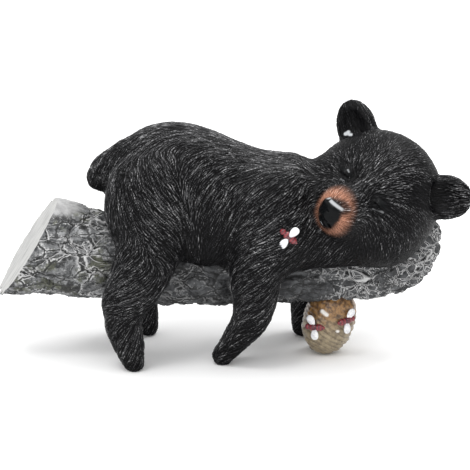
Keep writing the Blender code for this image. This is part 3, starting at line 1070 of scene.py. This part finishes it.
def grain_of(tree, scale, detail=3.0, roughness=0.6, stretch=None):
    """A noise over the piece, with lumps of about 1/scale metres, longer where stretch is below 1."""
    vector = place_on_piece(tree)
    if stretch:
        vector = node(tree, "ShaderNodeMapping", {"Vector": vector, "Scale": stretch}).outputs[0]
    inputs = {"Vector": vector, "Scale": scale, "Detail": detail, "Roughness": roughness}
    return node(tree, "ShaderNodeTexNoise", inputs).outputs["Fac"]


def rise(tree, value, low, high):
    """A smooth step of a value from 0 at low to 1 at high."""
    inputs = {"Value": value, "From Min": low, "From Max": high}
    return node(tree, "ShaderNodeMapRange", inputs, interpolation_type="SMOOTHSTEP").outputs["Result"]


def maths(tree, operation, first, second):
    return node(tree, "ShaderNodeMath", {0: first, 1: second}, operation=operation).outputs[0]


def plus(tree, first, second):
    return maths(tree, "ADD", first, second)


def times(tree, first, second):
    return maths(tree, "MULTIPLY", first, second)


def larger(tree, first, second):
    return maths(tree, "MAXIMUM", first, second)


def blend_colour(tree, share, low, high):
    made = node(tree, "ShaderNodeMix", data_type="RGBA")
    for place, value in ((0, share), (6, low), (7, high)):
        if isinstance(value, bpy.types.NodeSocket):
            tree.links.new(value, made.inputs[place])
        else:
            made.inputs[place].default_value = value
    return made.outputs[2]


def grey(value):
    return (value, value, value, 1)


def bump(tree, shader, height, strength, distance):
    made = node(tree, "ShaderNodeBump", {"Height": height, "Strength": strength, "Distance": distance})
    tree.links.new(made.outputs[0], shader.inputs["Normal"])


def fur_finish():
    """Black lacquer in the cuts, grey along the ridges that is partly brushed paint and partly painted
    highlight, tan round the nose, with painted sheen and shade from the skin's marks.
    """
    material, tree, shader = new_finish("painted_fur", Specular_IOR_Level=0.08)
    stroke = attribute(tree, "stroke")
    lock = attribute(tree, "lock")
    rub_light_shade = attribute(tree, "rub_light_shade")
    speckle = grain_of(tree, 900)
    cut = rise(tree, stroke, -0.5, 0.8)
    coat = blend_colour(tree, cut, (0.0006, 0.0006, 0.0008, 1), (0.008, 0.008, 0.009, 1))
    # The ridge grey takes in rubbing, painted sheen and painted shade; the brighter grey is partly rubbed
    # paint and partly painted highlight
    ridge = plus(tree, plus(tree, stroke, times(tree, lock, 0.25)), rub_light_shade)
    brushed = times(tree, rise(tree, ridge, 0.1, 0.9), rise(tree, speckle, 0.2, 0.5))
    coat = blend_colour(tree, brushed, coat, (0.05, 0.05, 0.052, 1))
    rub_and_highlight = times(tree, rise(tree, ridge, 1.05, 1.9), rise(tree, speckle, 0.38, 0.56))
    coat = blend_colour(tree, rub_and_highlight, coat, (0.30, 0.30, 0.305, 1))
    tan_cut = rise(tree, stroke, -1.4, 1.0)
    blush = blend_colour(tree, tan_cut, (0.13, 0.055, 0.035, 1), (0.42, 0.20, 0.13, 1))
    blush = blend_colour(tree, rub_and_highlight, blush, (0.55, 0.36, 0.28, 1))
    coat = blend_colour(tree, attribute(tree, "tan"), coat, blush)
    coat = blend_colour(tree, attribute(tree, "bare"), coat, (0.004, 0.0045, 0.005, 1))
    # Pale grey for the painted highlights, and for the white chip in the right ear
    coat = blend_colour(tree, attribute(tree, "highlight_and_chip"), coat, (0.62, 0.64, 0.66, 1))
    tree.links.new(coat, shader.inputs["Base Color"])
    gloss = {"Value": attribute(tree, "bare"), "To Min": 0.42, "To Max": 0.2}
    roughness = node(tree, "ShaderNodeMapRange", gloss).outputs[0]
    tree.links.new(roughness, shader.inputs["Roughness"])
    return material


def window(tree, value, start, full, end):
    """1 where a value is at full, falling to 0 at start and at end."""
    return times(tree, rise(tree, value, start, full), rise(tree, value, end, full))


def vector_maths(tree, operation, inputs):
    return node(tree, "ShaderNodeVectorMath", inputs, operation=operation).outputs[0]


def cracks_of(tree, size, push, length):
    """The distance to the nearest crack of a crooked net with cells of that size, as a share of it.

    The cells are longer along the branch where length is less than 1.
    """
    place = place_on_piece(tree)
    clouds = node(tree, "ShaderNodeTexNoise", {"Vector": place, "Scale": 0.7 / size, "Detail": 3.0})
    centred = vector_maths(tree, "SUBTRACT", {0: clouds.outputs["Color"], 1: (0.5, 0.5, 0.5)})
    pushed = vector_maths(tree, "SCALE", {0: centred, "Scale": 2 * push})
    moved = vector_maths(tree, "ADD", {0: place, 1: pushed})
    longer = node(tree, "ShaderNodeMapping", {"Vector": moved, "Scale": (length, 1, 1)}).outputs[0]
    inputs = {"Vector": longer, "Scale": 1 / size}
    return node(tree, "ShaderNodeTexVoronoi", inputs, feature="DISTANCE_TO_EDGE").outputs["Distance"]


def bark_finish():
    """Grey bark: whitish lips beside dark seams, dry-brushed and partly painted highlight, olive lichen
    on the thick end, a worn pale corner.
    """
    material, tree, shader = new_finish("weathered_bark", Roughness=0.62, Specular_IOR_Level=0.4)
    along = node(tree, "ShaderNodeSeparateXYZ", {0: place_on_piece(tree)}).outputs["X"]
    mottle = grain_of(tree, 170, 5, 0.7)
    fine = grain_of(tree, 900, 3, 0.6)
    ribs = grain_of(tree, 330, 4, 0.72, (0.3, 1, 1))
    patch = grain_of(tree, 60, 3, 0.6)
    thick_end = rise(tree, along, -0.03, -0.08)
    thin_end = rise(tree, along, 0.03, 0.07)
    cloud = rise(tree, mottle, 0.36, 0.66)
    pale = blend_colour(tree, cloud, (0.035, 0.037, 0.04, 1), (0.27, 0.275, 0.28, 1))
    deep = blend_colour(tree, cloud, (0.025, 0.026, 0.028, 1), (0.085, 0.088, 0.092, 1))
    ground = blend_colour(tree, thick_end, deep, pale)
    lichen = times(tree, rise(tree, grain_of(tree, 75, 4, 0.65), 0.52, 0.62), 0.75)
    lichen = times(tree, lichen, rise(tree, along, -0.02, -0.07))
    ground = blend_colour(tree, lichen, ground, (0.075, 0.08, 0.045, 1))
    ground = blend_colour(tree, times(tree, rise(tree, ribs, 0.47, 0.36), 0.9), ground, grey(0.010))
    crest = times(tree, rise(tree, ribs, 0.55, 0.63), rise(tree, fine, 0.4, 0.55))
    crest = times(tree, crest, rise(tree, along, -0.02, -0.07))
    ground = blend_colour(tree, times(tree, crest, 0.65), ground, grey(0.42))
    plate = attribute(tree, "plate_seam")
    flake = attribute(tree, "flake_seam")
    crack = cracks_of(tree, 0.0048, 0.002, 0.8)
    long_crack = cracks_of(tree, 0.0085, 0.005, 0.45)
    crack = node(tree, "ShaderNodeMix", {0: thin_end, 2: long_crack, 3: crack}).outputs[0]
    seams = larger(tree, window(tree, plate, -0.08, -0.03, 0.01), rise(tree, crack, 0.06, 0.02))
    seams = larger(tree, seams, times(tree, window(tree, flake, -0.14, -0.05, 0.01), 0.5))
    ground = blend_colour(tree, times(tree, seams, 0.85), ground, grey(0.009))
    # The whitish lips along cracks and plate edges are dry-brushed paint and partly painted highlight
    bright = plus(tree, plus(tree, patch, times(tree, thin_end, 0.15)), times(tree, fine, 0.5))
    lips = times(tree, window(tree, crack, 0.025, 0.06, 0.12), rise(tree, bright, 0.74, 0.84))
    edges = times(tree, window(tree, plate, -0.01, 0.02, 0.06), rise(tree, bright, 0.7, 0.82))
    lips = larger(tree, lips, edges)
    ends = larger(tree, larger(tree, thick_end, thin_end), 0.35)
    lips = times(tree, lips, ends)
    ground = blend_colour(tree, times(tree, lips, 0.9), ground, grey(0.58))
    smooth = blend_colour(tree, rise(tree, mottle, 0.3, 0.7), grey(0.26), grey(0.44))
    ground = blend_colour(tree, rise(tree, attribute(tree, "worn"), 0.2, 0.8), ground, smooth)
    tree.links.new(ground, shader.inputs["Base Color"])
    bump(tree, shader, plus(tree, ribs, fine), 0.6, 0.0007)
    return material


def sawn_finish():
    """The pale sawn end, streaked along the cut."""
    material, tree, shader = new_finish("sawn_wood", Roughness=0.6, Specular_IOR_Level=0.4)
    streak = grain_of(tree, 150, 4, 0.7, (0.7, 3, 0.5))
    colour = blend_colour(tree, rise(tree, streak, 0.3, 0.6), grey(0.27), (0.45, 0.45, 0.44, 1))
    tree.links.new(colour, shader.inputs["Base Color"])
    bump(tree, shader, streak, 0.4, 0.0005)
    return material


def straw_finish():
    """Varnished straw: golden brown under the branch, khaki lower down, dark grooves, pale painted
    reflections.
    """
    varnish = dict(Roughness=0.42, Coat_Weight=0.35, Coat_Roughness=0.12)
    material, tree, shader = new_finish("painted_straw", **varnish)
    height = node(tree, "ShaderNodeSeparateXYZ", {0: place_on_piece(tree)}).outputs["Z"]
    mottle = grain_of(tree, 380, 4, 0.65)
    golden = (0.07, 0.032, 0.012, 1), (0.30, 0.16, 0.055, 1)
    khaki = (0.16, 0.12, 0.07, 1), (0.31, 0.25, 0.155, 1)
    top = blend_colour(tree, rise(tree, mottle, 0.38, 0.62), *golden)
    low = blend_colour(tree, rise(tree, mottle, 0.35, 0.65), *khaki)
    share = plus(tree, height, times(tree, grain_of(tree, 130), 0.016))
    colour = blend_colour(tree, rise(tree, share, 0.021, 0.034), low, top)
    groove = rise(tree, attribute(tree, "groove"), 0.45, 0.95)
    colour = blend_colour(tree, groove, colour, (0.05, 0.034, 0.02, 1))
    # Pale painted reflections of a light on the varnish
    colour = blend_colour(tree, attribute(tree, "painted_reflection"), colour, (0.75, 0.72, 0.68, 1))
    tree.links.new(colour, shader.inputs["Base Color"])
    bump(tree, shader, mottle, 0.4, 0.0003)
    return material


def bee_finish():
    """Glossy dark red, blacker at the waist and in faint rings, with pinkish specks of painted highlight.
    """
    material, tree, shader = new_finish("bee_body", Roughness=0.3, Coat_Weight=0.25)
    run = attribute(tree, "run")
    rings = rise(tree, maths(tree, "SINE", times(tree, run, 40), 0), -0.9, 0.5)
    colour = blend_colour(tree, rings, (0.07, 0.008, 0.014, 1), (0.20, 0.017, 0.025, 1))
    waist = times(tree, rise(tree, run, 0.36, 0.46), rise(tree, run, 0.6, 0.5))
    colour = blend_colour(tree, times(tree, waist, 0.8), colour, (0.03, 0.006, 0.015, 1))
    # Pinkish specks: painted highlights on the glossy body
    speckle = rise(tree, grain_of(tree, 1300), 0.56, 0.68)
    colour = blend_colour(tree, speckle, colour, (0.42, 0.10, 0.11, 1))
    tree.links.new(colour, shader.inputs["Base Color"])
    return material


def wing_finish():
    """White paint, a little grey where it is thin."""
    material, tree, shader = new_finish("wing_white", Roughness=0.3)
    cover = rise(tree, grain_of(tree, 700), 0.35, 0.6)
    colour = blend_colour(tree, cover, (0.62, 0.62, 0.66, 1), grey(0.85))
    tree.links.new(colour, shader.inputs["Base Color"])
    return material


def floor_finish():
    material, tree, shader = new_finish("pale_floor", Roughness=0.9, Specular_IOR_Level=0.1)
    colour = blend_colour(tree, grain_of(tree, 3), grey(0.93), grey(0.95))
    tree.links.new(colour, shader.inputs["Base Color"])
    return material


def lay_floor():
    """A wide floor, a hair below the feet."""
    below = Matrix.Translation((0, 0, -0.0001))
    bm = bmesh.new()
    bmesh.ops.create_grid(bm, x_segments=2, y_segments=2, size=4, matrix=below)
    floor = mesh_object("floor", bm)
    floor.data.materials.append(floor_finish())


def softbox(name, place, size, energy):
    """A square light that looks at the middle of the figurine."""
    light = bpy.data.lights.new(name, "AREA")
    light.size = size
    light.energy = energy
    made = bpy.data.objects.new(name, light)
    made.location = place
    made.rotation_euler = (Vector((0, 0, 0.06)) - Vector(place)).to_track_quat("-Z", "Y").to_euler()
    bpy.context.scene.collection.objects.link(made)


def light_studio():
    scene = bpy.context.scene
    world = bpy.data.worlds.new("studio")
    world.use_nodes = True
    world.node_tree.nodes["Background"].inputs["Color"].default_value = grey(1.0)
    world.node_tree.nodes["Background"].inputs["Strength"].default_value = 0.95
    scene.world = world
    scene.view_settings.view_transform = "Standard"
    sun = bpy.data.lights.new("sun", "SUN")
    sun.energy = 1.3
    sun.angle = math.radians(80)
    made = bpy.data.objects.new("sun", sun)
    made.rotation_euler = (math.radians(22), math.radians(-12), 0)
    scene.collection.objects.link(made)
    softbox("top", (0.5, 0.38, 1.1), 0.4, 5)
    softbox("key", (-0.35, -0.45, 1.1), 0.3, 3)
    softbox("low", (-0.8, -0.85, 0.3), 0.16, 0.6)


# The camera's tilt in degrees, its focal length in millimetres and the place that it looks at
CAMERA_TILT = 16.5
FOCAL_LENGTH = 143.08
LOOKED_AT = (0.00238, 0.00249, 0.066)


def set_camera():
    """The photograph's view: from the front, a little above, one metre away."""
    tilt = math.radians(CAMERA_TILT)
    lens = bpy.data.cameras.new("camera")
    lens.sensor_width = 36
    lens.lens = FOCAL_LENGTH
    camera = bpy.data.objects.new("camera", lens)
    camera.location = Vector(LOOKED_AT) + Vector((0, -math.cos(tilt), math.sin(tilt)))
    camera.rotation_euler = (math.pi / 2 - tilt, 0, 0)
    bpy.context.scene.collection.objects.link(camera)
    bpy.context.scene.camera = camera


def finish_piece(piece, *materials):
    """Paints a piece and lets it stand in for the casting."""
    for material in materials:
        piece.data.materials.append(material)
    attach(piece, "root")
    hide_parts("bear_figurine")


def tree_of(made):
    return BVHTree.FromObject(made, bpy.context.evaluated_depsgraph_get())


def mark_painted_reflections(hive, tree):
    """Writes down on the hive where its painted reflections of a light on the varnish are."""
    points = read_points(hive.data)
    marks = []
    for *ends, width in PAINTED_REFLECTIONS:
        start, end = (np.array(seat_of(tree, x, z)[0]) for x, z in ends)
        marks.append(spot(points, start, end, width))
    add_attribute(hive.data, "painted_reflection", np.max(marks, axis=0))


def main():
    set_camera()
    light_studio()
    lay_floor()
    whole = model_cub()
    groom(whole)
    cub_pieces = cut_in_three(whole)
    branch = model_branch()
    hive = model_hive()
    hive.data.shade_smooth()
    hive_tree = tree_of(hive)
    mark_painted_reflections(hive, hive_tree)
    fur = fur_finish()
    for piece in cub_pieces:
        finish_piece(piece, fur)
    finish_piece(branch, bark_finish(), sawn_finish())
    finish_piece(hive, straw_finish())
    bees = model_bee("shoulder_bee", tree_of(cub_pieces[1]), **SHOULDER_BEE)
    for number, place in enumerate(HIVE_BEES, start=1):
        bees += model_bee(f"hive_bee_{number}", hive_tree, **place)
    body, wing = bee_finish(), wing_finish()
    for piece in bees:
        piece.data.shade_smooth()
        finish_piece(piece, body if piece.name.endswith("body") else wing)


main()
